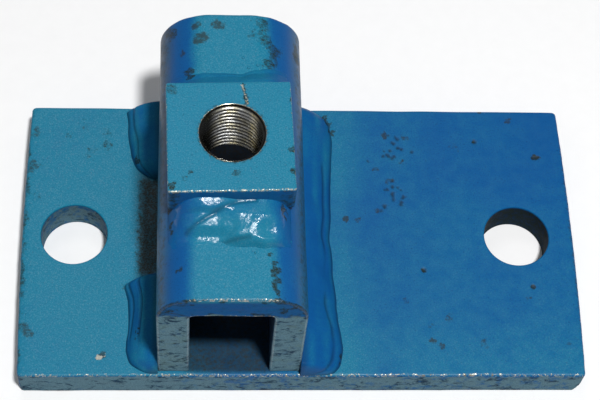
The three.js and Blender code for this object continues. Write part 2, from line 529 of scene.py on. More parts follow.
def enamel_colour(m, grain, medium, fine, dust):
    """Blue to teal paint, which also paints shade, with dark specks and dust that also paints a
    sheen.
    """
    tone_and_shade = m.shaken(m.mask("tone_and_shade"), m.noise(26.0, 3.0, 0.55), 0.35, 0.65, 0.08)
    tone_and_shade = m.shaken(tone_and_shade, medium, 0.3, 0.7, 0.05)
    tone_and_shade = m.shaken(tone_and_shade, fine, 0.3, 0.7, 0.10)
    colour = m.mix(m.span(tone_and_shade, 0.0, 1.0), BLUE, TEAL)
    speck = m.noise(0.5, 2.0, 0.6, 0.4)
    colour = m.mix(m.span(speck, 0.56, 0.78, 0.0, grain * 0.5), colour, DEEP)
    colour = m.mix(m.span(dust, 0.34, 0.50, grain * 0.18, 0.0), colour, DEEP)
    # More dust where the paint is teal, lightening flat tops as a painted sheen.
    chalk_and_sheen = m.span(dust, 0.50, 0.70, 0.0, grain * 0.16)
    return m.mix(m.math("MULTIPLY", chalk_and_sheen, m.span(tone_and_shade, 0.2, 1.0)), colour, CHALK_AND_SHEEN)


def scale_colour(m, dust):
    """Streaks of pale film over dark scale, for sawn and sheared faces."""
    streak = m.noise(2.6, 6.0, 0.72, 0.6, (0.8, 1, 1.3))
    crust = m.mix(m.span(streak, 0.37, 0.50), SCALE, FILM)
    return m.mix(m.span(dust, 0.35, 0.65, 0.35, 0.0), crust, SCALE)


def paint_material(name, roughness, grain, gloss, sparkle):
    """Blue enamel with painted shade, dirt that is partly painted shade, rust, a film of scale and
    bare chips that also paint highlights along worn edges, where the masks say so.

    grain is how strong the specks and dust are, and gloss is the specular level. sparkle is
    how far the finest bumps stand out, in millimetres; they break highlights up into grains.
    """
    m = Nodes(name)
    medium = m.noise(3.2, 4.0, 0.6)
    fine = m.noise(0.42, 3.0, 0.6)
    dust = m.noise(0.36, 3.0, 0.7)
    scatter = m.noise(1.2, 5.0, 0.7)
    painted_shade = m.mask("painted_shade")
    grime_and_shade = m.span(m.shaken(m.mask("grime_and_shade"), scatter, 0.25, 0.75, 0.32), 0.32, 0.80)
    rust = m.span(m.shaken(m.mask("rust"), m.noise(0.9, 5.0, 0.7), 0.25, 0.75, 0.40), 0.25, 1.0)
    bare_and_highlight = m.span(m.shaken(m.mask("bare_and_highlight"), m.noise(0.6, 5.0, 0.75), 0.25, 0.75, 0.45), 0.54, 0.72)
    film = m.span(m.shaken(m.mask("film"), m.noise(2.4, 5.0, 0.65), 0.3, 0.7, 0.3), 0.35, 0.85)

    colour = enamel_colour(m, grain, medium, fine, dust)
    # Painted shade first, then dirt that is partly painted shade, rust, scale film and bare steel.
    colour = m.mix(painted_shade, colour, PAINTED_SHADE)
    colour = m.mix(m.math("MULTIPLY", grime_and_shade, m.span(fine, 0.35, 0.62, 0.45, 0.97)), colour, GRIME_AND_SHADE)
    colour = m.mix(m.math("MULTIPLY", rust, 0.75), colour, RUST)
    colour = m.mix(m.math("MULTIPLY", film, 0.85), colour, scale_colour(m, dust))
    colour = m.mix(bare_and_highlight, colour, m.mix(m.span(scatter, 0.55, 0.70), BARE_STEEL_AND_HIGHLIGHT, BRONZE))

    rough = m.span(medium, 0.3, 0.7, roughness - 0.07, roughness + 0.07)
    dull = m.math("MAXIMUM", m.math("MAXIMUM", grime_and_shade, rust), painted_shade)
    rough = m.math("ADD", rough, m.math("MULTIPLY", dull, 0.06))
    normal = m.bump(m.noise(1.7, 3.0, 0.55), 0.05, 0.5)
    normal = m.bump(dust, sparkle, 1.0, normal)
    normal = m.bump(bare_and_highlight, -0.04, 0.6, normal)
    m.fill_in(
        m.shader, Base_Color=colour, Metallic=m.math("MULTIPLY", bare_and_highlight, 0.8), Roughness=rough,
        Normal=normal, IOR=1.5, Specular_IOR_Level=gloss,
    )
    return m.material


def steel_material(name):
    """Bare cut steel, for the thread: turned grooves, oil tint, and painted shade in its grooves
    and sides.
    """
    m = Nodes(name)
    streak = m.noise(0.5, 3.0, 0.6, 0.0, (1, 1, 6))
    stain = m.noise(4.0, 4.0, 0.6)
    colour = m.mix(m.span(stain, 0.40, 0.68), STEEL, OILY_STEEL)
    colour = m.mix(m.span(streak, 0.55, 0.80, 0.0, 0.7), colour, DARK_STREAK)
    # Darker with the painted shade in the grooves and at the hole's sides.
    colour = m.mix(m.mask("grime_and_shade"), colour, SHADED_THREAD)
    m.fill_in(
        m.shader, Base_Color=colour, Metallic=1.0, Roughness=m.span(streak, 0.3, 0.7, 0.14, 0.28),
        Normal=m.bump(streak, 0.02, 0.5),
    )
    return m.material


paint = paint_material("blue_enamel", roughness=0.38, grain=0.90, gloss=0.18, sparkle=0.014)
weld_paint = paint_material("weld_enamel", roughness=0.20, grain=0.50, gloss=0.30, sparkle=0.036)
bead_paint = paint_material("bead_enamel", roughness=0.42, grain=0.50, gloss=0.04, sparkle=0.016)
cut_paint = paint_material("cut_edge_enamel", roughness=0.55, grain=0.60, gloss=0.02, sparkle=0.018)
steel = steel_material("thread_steel")


# ---------------- marks on the paint

# Where the paint is rusted, stained or chipped, as the photo shows it: x, y, radius, strength.
# A mark that isn't on a flat top has z too, measured up from the plate's top: x, y, z, radius,
# strength.
PLATE_RUST = [
    (24, 32, 1.1, 0.8), (30, 31, 1.2, 0.6), (28.6, 23.4, 0.9, 0.9), (21, 21, 1.1, 0.6),
    (25, 17.4, 1.2, 0.6), (21, 8, 0.9, 0.6), (12.2, 5.5, 0.9, 1.0), (15.6, 4.9, 0.9, 0.7),
    (43.6, 28, 1.4, 0.4), (59.2, 37, 1.2, 0.7), (27, -18.5, 1.0, 0.5), (33.7, -30.5, 1.1, 0.8),
    (35.7, -31.6, 1.1, 0.8), (38.6, -23.4, 1.4, 0.55), (47.3, -30.8, 1.3, 0.5),
    (69.2, -31, 1.0, 0.6), (55, -18.4, 0.9, 0.5), (59.8, -17.8, 1.0, 0.55),
    (33.2, -25.7, 0.8, 0.5), (51.5, 39.5, 1.0, 0.9), (-71.8, 21, 2.2, 0.7), (-71.8, 32, 1.4, 0.6),
    (-71.9, -27, 2.6, 0.7), (-51.4, -34.6, 1.15, 1.0), (-46.6, -15.2, 1.0, 0.6),
]
PLATE_STAIN = [
    (-58.5, 34.3, 2.2, 0.42), (-62.9, 30.7, 1.4, 0.5), (-52.6, 31.8, 1.8, 0.42),
    (-52.3, 28, 1.8, 0.52), (-54.9, 27, 1.6, 0.46), (-56.8, 25.4, 1.6, 0.42),
    (-70.5, 12.3, 1.6, 0.4), (65.3, 25, 0.9, 0.9), (66.6, 25.1, 0.7, 0.9), (61.5, -14.6, 0.6, 1.0),
    (49.1, 30, 0.5, 1.0), (32.6, -9.7, 0.55, 1.0), (7.6, 37.0, 1.0, 0.9), (8.8, 35.0, 1.0, 1.0),
    (9.6, 32.6, 0.9, 0.9),
]
PLATE_BARE = [(-52.2, -34.8, 1.0, 0.9), (-50.9, -34.3, 0.6, 0.9), (43.2, -39.8, 1.0, 0.9)]
CHANNEL_RUST = [
    (-27.3, 35.4, 42.3, 2.4, 0.95), (-28.4, 38.5, 42.0, 1.6, 0.8), (-22.7, 38.8, 42.5, 1.8, 0.8),
    (-31.6, 31.4, 40.5, 1.1, 0.8),
]
CHANNEL_STAIN = [
    (-13.0, 36.2, 42.4, 2.4, 0.4), (-11.4, 39.6, 42.2, 2.2, 0.6), (-10.5, 35.0, 42.2, 2.2, 0.6),
    (-8.4, 32.0, 41.4, 2.6, 0.65), (-9.6, 28.3, 41.9, 2.2, 0.65), (-10.3, 25.8, 42.0, 1.6, 0.5),
    (-35.0, 38.8, 37.5, 2.4, 0.7), (-36.0, 34.6, 35.7, 2.2, 0.6), (-30.0, 25.4, 41.6, 1.8, 0.8),
    (-2.4, 35.0, 35.4, 2.2, 1.0), (-10.6, -26.6, 42.3, 0.8, 0.9), (-9.6, -28.8, 42.2, 0.8, 1.0),
    (-8.9, -30.6, 42.2, 0.9, 1.0), (-9.9, -30.9, 42.2, 0.6, 1.0), (-9.6, -32.0, 42.2, 0.7, 1.0),
    (-8.8, -33.4, 42.1, 0.9, 1.0), (-9.5, -35.0, 42.2, 0.9, 1.0), (-10.2, -33.9, 42.3, 0.6, 1.0),
    (-8.9, -36.6, 42.1, 0.9, 1.0), (-8.4, -38.6, 42.0, 1.4, 1.0), (-33.9, -13.3, 39.6, 1.6, 0.9),
    (-33.3, -18.5, 40.4, 1.8, 0.8), (-32.0, -30.2, 41.2, 0.8, 0.8),
]
BLOCK_STAIN = [
    (-34.0, 13.4, 1.9, 0.6), (-18.6, -9.4, 1.1, 0.6), (-33.6, -13.4, 1.0, 0.9),
    (-30.6, -10.8, 0.9, 0.6), (-29.6, -9.4, 0.7, 0.7), (-5.0, -9.0, 0.9, 0.9),
    (-5.0, -3.1, 1.0, 0.9), (-5.2, 11.0, 0.7, 0.8),
]
# Two drifts of corrosion pits, as centre, spread and how many, and the pits that stand alone.
PIT_DRIFTS = [((25.0, 28.0), (3.0, 3.4), 17), ((26.5, 13.0), (2.6, 3.4), 19)]
LONE_PITS = [(49.1, 30.0), (32.6, -9.7), (61.5, -14.6), (65.2, 25.0), (66.3, 25.1)]
LONE_PIT_RADIUS = 0.6
LONE_PIT_DEPTH = 0.3


def spots(points, marks, lift=0.0, seed=11):
    """Strongest of a list of ragged spots at each point. Flat marks lie at the height lift."""
    total = np.zeros(len(points))
    for index, (*place, radius, strength) in enumerate(marks):
        centre = place if len(place) == 3 else (*place, lift)
        total = np.maximum(total, strength * blotch(points, centre, radius, seed + index))
    return total


def pits():
    """Centres, radii and depths of the corrosion pits in the plate's top."""
    random = np.random.default_rng(42)
    found = []
    for centre, spread, count in PIT_DRIFTS:
        for x, y in random.normal(centre, spread, (count, 2)):
            found.append((x, y, random.uniform(0.30, 0.50), random.uniform(0.10, 0.22)))
    found += [(x, y, LONE_PIT_RADIUS, LONE_PIT_DEPTH) for x, y in LONE_PITS]
    return found


# The first mask is the paint's shade, from blue at 0 to teal at 1, and is also painted shade: flat
# tops are given more teal than slopes and walls. The others, in order, are what covers it: dirt
# that is also painted shade, painted shade, rust, bare steel that also paints highlights along worn
# edges, and a film of scale.
MASKS = ("tone_and_shade", "grime_and_shade", "painted_shade", "rust", "bare_and_highlight", "film")


def blank_masks(points):
    return {name: np.zeros(len(points)) for name in MASKS}


def deepen(masks, name, *layers):
    """Raises a mask to the strongest of some layers."""
    masks[name] = np.maximum.reduce([masks[name], *layers])


def lifted(points):
    """Points measured up from the plate's top, as the marks on the channel are."""
    return points - (0, 0, PLATE_TOP)


# ---------------- base plate


def chipped(points, corner, normal, reach):
    """Pushes points that stand past a slanting plane back onto it, near one corner."""
    normal = np.array(normal) / np.linalg.norm(normal)
    past = (points - np.array(corner)) @ normal
    past = past + 0.25 * noise(points, 1.6, 71)
    near = np.linalg.norm(points - np.array(corner), axis=1) < reach
    return points - np.where(near & (past > 0), past, 0)[:, None] * normal


def worn_plate(points):
    """Rolled top, sheared ends with a rolled-over edge, pits and two chipped corners."""
    points = points.copy()
    top = ramp(PLATE_TOP - 1.0, PLATE_TOP - 0.2, points[:, 2])
    bottom = ramp(1.0, 0.2, points[:, 2])
    from_end = PLATE_END - np.abs(points[:, 0])
    points[:, 2] += top * (0.07 * noise(points, 30, 1) + 0.02 * noise(points, 5, 2))
    points[:, 2] -= top * 0.45 * np.exp(-np.maximum(from_end, 0) / 1.3)
    points[:, 1] += 0.10 * noise(points * (1, 0.2, 0.2), 9, 3) * (1 - 0.8 * bottom)
    end_face = ramp(1.6, 0.4, from_end) * (1 - top)
    points[:, 0] += end_face * 0.16 * fractal(points * (0.2, 1, 0.35), 2.2, 3, 4)
    front_face = ramp(1.0, 0.2, points[:, 1] - PLATE_FRONT) * (1 - top) * (1 - bottom)
    points[:, 1] += front_face * 0.10 * fractal(points * (0.5, 0.2, 1.4), 3.0, 3, 5)
    for x, y, radius, depth in pits():
        away = np.hypot(points[:, 0] - x, points[:, 1] - y)
        points[:, 2] -= top * depth * ramp(radius * 1.5, radius * 0.2, away)
    right_corner, left_corner = (71.2, PLATE_FRONT, 0), (-71.9, PLATE_FRONT, 0)
    points = chipped(points, right_corner, normal=(0.94, -0.35, -0.34), reach=11)
    return chipped(points, left_corner, normal=(-0.75, -0.35, -0.6), reach=6)


# The middle of the gap between the two weld stitches on the left: bare and dirty, with painted
# shade.
STITCH_GAP_X = -38.5


def plate_masks(points):
    masks = blank_masks(points)
    x, y, z = points.T
    up = ramp(PLATE_TOP - 0.5, PLATE_TOP - 0.1, z)
    wall = ramp(PLATE_TOP - 0.1, PLATE_TOP - 0.8, z)
    end = ramp(1.5, 0.5, PLATE_END - np.abs(x))
    left = ramp(-20, -42, x)
    left_hole, right_hole = (
        ramp(BOLT_RADIUS + 0.5, BOLT_RADIUS + 0.1, np.hypot(x - centre[0], y - centre[1]))
        for centre in HOLE_CENTRES
    )

    by_weld = ramp(22, 9, x) * ramp(0, 8, x)
    front_right = ramp(-18, -38, y) * (1 - left)
    far_right = ramp(30, 60, x) * ramp(-5, 30, y)
    masks["tone_and_shade"] = 0.30 + 0.62 * left + 0.24 * by_weld + 0.20 * front_right - 0.12 * far_right
    # Walls are given bluer paint than the top: painted shade.
    masks["tone_and_shade"] *= 0.25 + 0.75 * up

    # Painted shade on the plate inside the socket, with some dirt and rust there too.
    socket = ramp(HALF_WIDTH - 5, HALF_WIDTH - 8.5, np.abs(x - CHANNEL_X))
    socket *= ramp(PLATE_FRONT + 0.3, PLATE_FRONT + 1.8, y) * up
    # The gap between the left stitches is dirt and rust, with painted shade on it too.
    between_stitches = ramp(7.4, 3.2, np.abs(x - STITCH_GAP_X)) * up
    between_stitches *= ramp(19, 16, y) * ramp(-14, -10, y)
    worn_end = ramp(2.6, 0.6, PLATE_END - np.abs(x)) * up * left
    worn_end *= ramp(-0.2, 0.5, fractal(points, 5.0, 3, 61))
    # Painted shade in the socket and on the right bolt hole's wall.
    deepen(masks, "painted_shade", 0.74 * socket, 0.85 * right_hole * wall)
    # Each pit is darkened in and round its hollow with the same dark colour.
    for pit_x, pit_y, radius, _ in pits():
        near_pit = ramp(radius * 1.5, radius * 0.7, np.hypot(x - pit_x, y - pit_y))
        deepen(masks, "painted_shade", 0.75 * near_pit * up)
    # The bolt holes' walls are darkened as dirt and painted shade.
    deepen(
        masks, "grime_and_shade", 0.30 * socket, 0.80 * between_stitches, 0.62 * worn_end,
        (0.40 * left_hole + 0.65 * right_hole) * wall, spots(points, PLATE_STAIN, PLATE_TOP),
    )
    deepen(
        masks, "rust", 0.45 * end, 0.50 * socket, 0.45 * between_stitches,
        spots(points, PLATE_RUST, PLATE_TOP),
    )
    # Bare steel along the worn top front edge, which also paints a highlight there.
    front_edge = ramp(0.75, 0.25, np.hypot(y - PLATE_FRONT - 0.25, z - PLATE_TOP + 0.2))
    deepen(masks, "bare_and_highlight", 0.50 * front_edge, spots(points, PLATE_BARE, PLATE_TOP))
    front = ramp(PLATE_FRONT + 0.7, PLATE_FRONT + 0.2, y) * (0.82 + 0.18 * left)
    deepen(masks, "film", front * wall, 0.75 * left_hole * wall, 0.7 * end * wall)
    return masks


def base_plate():
    shell = Shell()
    width = PLATE_END - PLATE_LOW[0] - 2 * END_BULGE
    depth = PLATE_HIGH[1] - PLATE_FRONT
    loop, normals = rounded_rectangle(width, depth, PLATE_CORNER, 0.45)
    loop[:, 0] *= 1 + END_BULGE / (width / 2) * (1 - (loop[:, 1] / (depth / 2)) ** 2)
    rings = wall_rings(shell, loop, normals, PLATE_LOW[2], PLATE_TOP, PLATE_EDGE)
    inward = -circle(BOLT_HOLE_POINTS)
    holes = []
    for centre in HOLE_CENTRES:
        hole_loop = centre - inward * BOLT_RADIUS
        hole = wall_rings(shell, hole_loop, inward, PLATE_LOW[2], PLATE_TOP, BOLT_HOLE_EDGE)
        shell.stack(hole, zone=1)
        holes.append(hole)
    shell.stack(rings[:4])
    shell.stack(rings[3:], zone=1)
    shell.fill(rings[0], [hole[0] for hole in holes], 0.50)
    shell.fill(rings[-1], [hole[-1] for hole in holes], 1.6)
    masks = plate_masks(shell.points)
    points = worn_plate(shell.points)
    materials = [paint, cut_paint]
    return new_piece("plate", shell, points, materials, ["base_plate"], masks)


# ---------------- socket channel


def shoulder_radius(y):
    """Radius of the channel's bends, which are a little looser at the rear."""
    t = (y - CHANNEL_FRONT) / (CHANNEL_REAR - CHANNEL_FRONT)
    return FRONT_RADIUS + (REAR_RADIUS - FRONT_RADIUS) * t


def outer_height(x, y):
    """Height of the channel's outer surface over a point."""
    radius = shoulder_radius(y)
    past = np.maximum(0, np.abs(x - CHANNEL_X) - (HALF_WIDTH - radius))
    return CHANNEL_TOP - radius + np.sqrt(np.maximum(0, radius**2 - past**2))


# How many steps each stretch of the channel's outline has.
WALL_STEPS = 52
INNER_STEPS = 34
BEND_STEPS = 30
TOP_STEPS = 36
TIGHT_STEPS = 8
SOLE_STEPS = 14

# The window that is left open round the tapped hole: how far it reaches along the channel, and
# how many steps down each bend.
WINDOW_REACH = 10.0
WINDOW_STEPS = 7


def channel_ring(y, inset):
    """Closed outline of the inverted U at one station, drawn in by inset."""
    radius = shoulder_radius(y) - inset
    half = HALF_WIDTH - inset
    top = CHANNEL_TOP - inset
    foot = PLATE_TOP + inset
    inner = HALF_WIDTH - LEG + inset
    ceiling = CEILING + inset
    small = INNER_RADIUS + inset

    def line(start, end, steps):
        return np.linspace(start, end, steps, endpoint=False)

    def arc(centre, size, first, steps, sweep):
        angle = math.pi * (first + np.linspace(0, sweep, steps, endpoint=False))
        return np.array(centre) + size * np.column_stack([np.cos(angle), np.sin(angle)])

    # From the right foot over the top to the left foot, then back along the inside.
    outline = np.concatenate([
        line((half, foot), (half, top - radius), WALL_STEPS),
        arc((half - radius, top - radius), radius, 0, BEND_STEPS, 0.5),
        line((half - radius, top), (radius - half, top), TOP_STEPS),
        arc((radius - half, top - radius), radius, 0.5, BEND_STEPS, 0.5),
        line((-half, top - radius), (-half, foot), WALL_STEPS),
        line((-half, foot), (-inner, foot), SOLE_STEPS),
        line((-inner, foot), (-inner, ceiling - small), INNER_STEPS),
        arc((small - inner, ceiling - small), small, 1, TIGHT_STEPS, -0.5),
        line((small - inner, ceiling), (inner - small, ceiling), TOP_STEPS),
        arc((inner - small, ceiling - small), small, 0.5, TIGHT_STEPS, -0.5),
        line((inner, ceiling - small), (inner, foot), INNER_STEPS),
        line((inner, foot), (half, foot), SOLE_STEPS),
    ])
    return np.column_stack([CHANNEL_X + outline[:, 0], np.full(len(outline), y), outline[:, 1]])


def window(rings, columns, rows):
    """The loop of ring points round a rectangle of columns and rows."""
    first_column, last_column = columns
    first_row, last_row = rows
    across = range(first_column, last_column)
    down = range(first_row, last_row)
    loop = [rings[first_row][i] for i in across]
    loop += [rings[j][last_column] for j in down]
    loop += [rings[last_row][i + 1] for i in reversed(across)]
    loop += [rings[j + 1][first_column] for j in reversed(down)]
    return np.array(loop)


def worn_channel(points):
    """Cut ends with saw marks, and walls that aren't quite flat."""
    points = points.copy()
    x, y, z = points.T
    front = ramp(0.9, 0.1, y - CHANNEL_FRONT)
    rear = ramp(0.9, 0.1, CHANNEL_REAR - y)
    ends = front + rear
    body = (1 - ends) * (from_thread(points) >= 11)
    saw = fractal(points * (0.5, 0.1, 1.6), 2.4, 4, 21)
    points[:, 1] += (front - rear) * (0.10 * saw + 0.12 * noise(points, 7, 22))
    swell = 0.09 * noise(points, 16, 23) + 0.025 * noise(points, 3.5, 24)
    outer = ramp(HALF_WIDTH - 6, HALF_WIDTH - 2, np.abs(x - CHANNEL_X))
    points[:, 0] += body * outer * swell * np.sign(x - CHANNEL_X)
    points[:, 2] += body * ramp(CHANNEL_TOP - 5, CHANNEL_TOP, z) * swell
    return points


def channel_masks(points):
    masks = blank_masks(points)
    x, y, z = points.T
    away = np.abs(x - CHANNEL_X)
    front = ramp(CHANNEL_FRONT + 0.8, CHANNEL_FRONT + 0.3, y)
    side_wall = ramp(HALF_WIDTH - 4.5, HALF_WIDTH - 0.8, away) * (1 - front)
    flat_top = ramp(2.2, 0.1, CHANNEL_TOP - z)
    flat_top *= ramp(HALF_WIDTH - 5, HALF_WIDTH - 11, away)
    # Flat top teal, shoulders and walls bluer: the paint's tone, and painted shade too.
    masks["tone_and_shade"] = 0.05 + 0.95 * flat_top + 0.35 * side_wall + 0.10 * front

    # Painted shade inside the channel, and a little on the front face's band above the ceiling.
    inner = ramp(HALF_WIDTH - LEG + 0.6, HALF_WIDTH - LEG + 0.1, away)
    inner *= ramp(CEILING + 0.9, CEILING + 0.2, z)
    inner *= ramp(CHANNEL_FRONT + 0.1, CHANNEL_FRONT + 1.2, y)
    band = front * ramp(CEILING - 1.0, CEILING + 2.0, z)
    # Painted shade down the side walls, deeper on the left towards the rear.
    left_shade = 0.30 + 0.25 * ramp(-12, 2, y)
    shade = side_wall * np.where(x < CHANNEL_X, left_shade, 0.30)
    deepen(masks, "painted_shade", 0.9 * inner, 0.15 * band, shade)

    seam = front * ramp(2.2, 0.4, np.abs(z - CEILING - 1.2 - noise(points, 5, 32)))
    rim = front * ramp(HALF_WIDTH - 2.0, HALF_WIDTH - 0.3, away)
    from_bend = np.hypot(away - (HALF_WIDTH - FRONT_RADIUS), z - (CHANNEL_TOP - FRONT_RADIUS))
    bend_rim = front * ramp(FRONT_RADIUS - 1.8, FRONT_RADIUS - 0.4, from_bend)
    bend_rim *= (away > HALF_WIDTH - FRONT_RADIUS) & (z > CHANNEL_TOP - FRONT_RADIUS)
    low_left = ramp(-33, -36, x) * ramp(HALF_WIDTH - 1.2, HALF_WIDTH - 0.2, away)
    low_left *= ramp(CHANNEL_TOP - 16, CHANNEL_TOP - 24, z)
    saw_dirt = front * ramp(0.15, 0.6, fractal(points * (1, 1, 1.5), 2.4, 4, 33))
    # Dirt, with painted shade inside the channel, down its side walls and in the thread.
    deepen(
        masks, "grime_and_shade", 0.20 * inner, 0.48 * side_wall, 0.28 * front, 0.75 * saw_dirt,
        0.50 * seam * (away > HALF_WIDTH - 9), 0.35 * rim, 0.75 * bend_rim, 0.55 * low_left,
        spots(lifted(points), CHANNEL_STAIN, seed=140), thread_shade(points),
    )
    deepen(masks, "rust", spots(lifted(points), CHANNEL_RUST, seed=160))
    # Bare steel along the worn top and ceiling edges of the front face, which also paints a
    # highlight there.
    top_edge = ramp(0.8, 0.2, np.hypot(y - CHANNEL_FRONT - 0.2, z - CHANNEL_TOP + 0.2))
    ceiling_edge = front * ramp(0.9, 0.2, np.abs(z - CEILING - 0.3))
    ceiling_edge *= away < HALF_WIDTH - LEG
    deepen(masks, "bare_and_highlight", 0.53 * top_edge, 0.52 * ceiling_edge)
    legs = front * ramp(CEILING + 2.5, CEILING - 1.5, z + 1.2 * noise(points, 4, 31))
    deepen(masks, "film", legs, 0.10 * front)
    return masks


def channel_stations():
    """Where the channel's rings lie, and how far each is drawn in at the two cut ends."""
    front = [(CHANNEL_FRONT + step, drop) for step, drop in reversed(edge_turn(CHANNEL_EDGE))]
    middle = np.linspace(CHANNEL_FRONT + CHANNEL_EDGE, CHANNEL_REAR - CHANNEL_EDGE, CHANNEL_RINGS)
    rear = [(CHANNEL_REAR - step, drop) for step, drop in edge_turn(CHANNEL_EDGE)]
    return front + [(y, 0.0) for y in middle[1:-1]] + rear


def web_thread(shell):
    """The thread through the web, from its outer surface down to the socket's ceiling."""
    mouth = THREAD_CENTRE + circle(THREAD_POINTS) * THREAD_MAJOR
    high = outer_height(mouth[:, 0], mouth[:, 1])
    levels = [high + (CEILING - high) * t for t in np.linspace(0, 1, WEB_THREAD_RINGS)]
    places = [thread_ring(z) for z in levels]
    places[0][:, 2] = outer_height(places[0][:, 0], places[0][:, 1])
    rings = [shell.add(place) for place in places]
    shell.stack(rings, zone=1)
    return rings


def socket_channel():
    shell = Shell()
    stations = channel_stations()
    rings = [shell.add(channel_ring(y, inset)) for y, inset in stations]

    # Cells round the tapped hole, in the top and in the ceiling, are left open.
    along = np.array([y for y, _ in stations])
    rows = np.flatnonzero(np.abs(along - THREAD_CENTRE[1]) < WINDOW_REACH)[[0, -1]]
    top_start = WALL_STEPS + BEND_STEPS
    top_columns = (top_start - WINDOW_STEPS, top_start + TOP_STEPS + WINDOW_STEPS)
    ceiling_start = 2 * top_start + TOP_STEPS + SOLE_STEPS + INNER_STEPS + TIGHT_STEPS
    ceiling_columns = (ceiling_start, ceiling_start + TOP_STEPS)
    cells = grid_cells(np.array([np.append(ring, ring[0]) for ring in rings]))
    closed = np.ones(cells.shape[:2], bool)
    for first, last in (top_columns, ceiling_columns):
        closed[rows[0]:rows[1], first:last] = False
    shell.faces += cells[closed].tolist()
    shell.zones += [0] * int(closed.sum())

    hole = web_thread(shell)
    shell.fill(
        window(rings, top_columns, rows), [hole[0]], 0.8,
        height=lambda new: outer_height(new[:, 0], new[:, 1]),
    )
    shell.fill(window(rings, ceiling_columns, rows), [hole[-1]], 0.6)
    shell.fill(rings[0], [], 0.5, axes=(0, 2), zone=2)
    shell.fill(rings[-1], [], 0.6, axes=(0, 2), zone=2)
    masks = channel_masks(shell.points)
    points = worn_channel(shell.points)
    materials = [paint, steel, cut_paint]
    return new_piece("channel", shell, points, materials, ["socket_channel"], masks)


# ---------------- tapped block


def block_axes():
    """The block's own two directions, as rows; it is turned a little on the channel."""
    cos, sin = math.cos(BLOCK_TURN), math.sin(BLOCK_TURN)
    return np.array([[cos, sin], [-sin, cos]])


def block_masks(points):
    masks = blank_masks(points)
    z = points[:, 2]
    up = ramp(BLOCK_TOP - 0.5, BLOCK_TOP - 0.1, z)
    sides = 1 - up
    # Top teal and sides blue: the paint's tone, and painted shade too.
    masks["tone_and_shade"] = 0.24 + 0.76 * up

    half = BLOCK_SIZE / 2
    local = (points[:, :2] - BLOCK_CENTRE) @ block_axes().T
    aside = np.abs(local[:, 0])
    near_front = ramp(0.9, 0.2, half + local[:, 1])
    near_side = ramp(0.6, 0.1, half - aside)
    near_top = ramp(BLOCK_TOP - 0.9, BLOCK_TOP - 0.2, z)
    front_ends = near_front * sides * ramp(half - 6, half - 1.5, aside)
    from_hole = from_thread(points)
    # A row of dots behind the hole makes the scratch there, each with dirt round it.
    scratch = [(-17.0 + 0.17 * step, 15.2 - 0.75 * step) for step in range(8)]
    deepen(
        masks, "grime_and_shade", 0.60 * front_ends, 0.35 * sides * ramp(0, 0.6, noise(points, 3, 41)),
        0.50 * ramp(RIM_RADIUS + 1.1, RIM_RADIUS + 0.3, from_hole) * up,
        spots(points, BLOCK_STAIN, BLOCK_TOP, 210),
        spots(points, [(*dot, 0.6, 0.9) for dot in scratch], BLOCK_TOP, 250),
        thread_shade(points),
    )
    # Bare steel along the worn top edges, which also paints a highlight there; round the rim and at
    # the scratch it is bare steel only.
    deepen(
        masks, "bare_and_highlight", 0.62 * near_front * near_top, 0.44 * near_side * near_top,
        0.62 * ramp(RIM_RADIUS + 0.35, RIM_RADIUS, from_hole),
        spots(points, [(*dot, 0.42, 0.66) for dot in scratch], BLOCK_TOP, 230),
    )
    return masks


def worn_block(points):
    """Faces that aren't quite flat, away from the thread."""
    solid = ramp(RIM_RADIUS, RIM_RADIUS + 1, from_thread(points))[:, None]
    broad = np.column_stack([noise(points, 4, seed) for seed in (51, 52, 53)])
    fine = np.column_stack([noise(points, 0.9, seed) for seed in (54, 55, 56)])
    return points + solid * (0.05 * broad + 0.02 * fine)


def tapped_block():
    shell = Shell()
    loop, normals = rounded_rectangle(BLOCK_SIZE, BLOCK_SIZE, BLOCK_CORNER, 0.35)
    loop, normals = BLOCK_CENTRE + loop @ block_axes(), normals @ block_axes()
    rings = wall_rings(shell, loop, normals, CHANNEL_TOP, BLOCK_TOP, BLOCK_EDGE)
    shell.stack(rings)
    levels = np.linspace(BLOCK_TOP, CHANNEL_TOP, BLOCK_THREAD_RINGS)
    hole = [shell.add(thread_ring(z)) for z in levels]
    shell.stack(hole, zone=1)
    shell.fill(rings[0], [hole[0]], 0.38)
    shell.fill(rings[-1], [hole[-1]], 1.2)
    masks = block_masks(shell.points)
    points = worn_block(shell.points)
    return new_piece("block", shell, points, [paint, steel], ["tapped_block"], masks)


# ---------------- weld beads


def grid_solid(top, bottom):
    """A solid between two equal grids of places."""
    shell = Shell()
    rows, columns = top.shape[:2]
    upper = shell.add(top.reshape(-1, 3)).reshape(rows, columns)
    lower = shell.add(bottom.reshape(-1, 3)).reshape(rows, columns)
    for sheet in (upper, lower):
        shell.faces += grid_cells(sheet).reshape(-1, 4).tolist()
    shell.zones = [0] * len(shell.faces)
    shell.stack([
        np.concatenate([sheet[0, :-1], sheet[:-1, -1], sheet[-1, :0:-1], sheet[:0:-1, 0]])
        for sheet in (upper, lower)
    ])
    return shell


def weld_masks(points, dark, stains, seed, tone_and_shade):
    """Masks of a bead. dark is the painted shade over the grid that its top and its bottom share.
    """
    masks = blank_masks(points)
    masks["tone_and_shade"] = tone_and_shade + 0.06 * noise(points, 7, seed)
    masks["painted_shade"] = np.tile(dark.ravel(), 2)
    masks["grime_and_shade"] = spots(lifted(points), stains, seed=seed)
    return masks


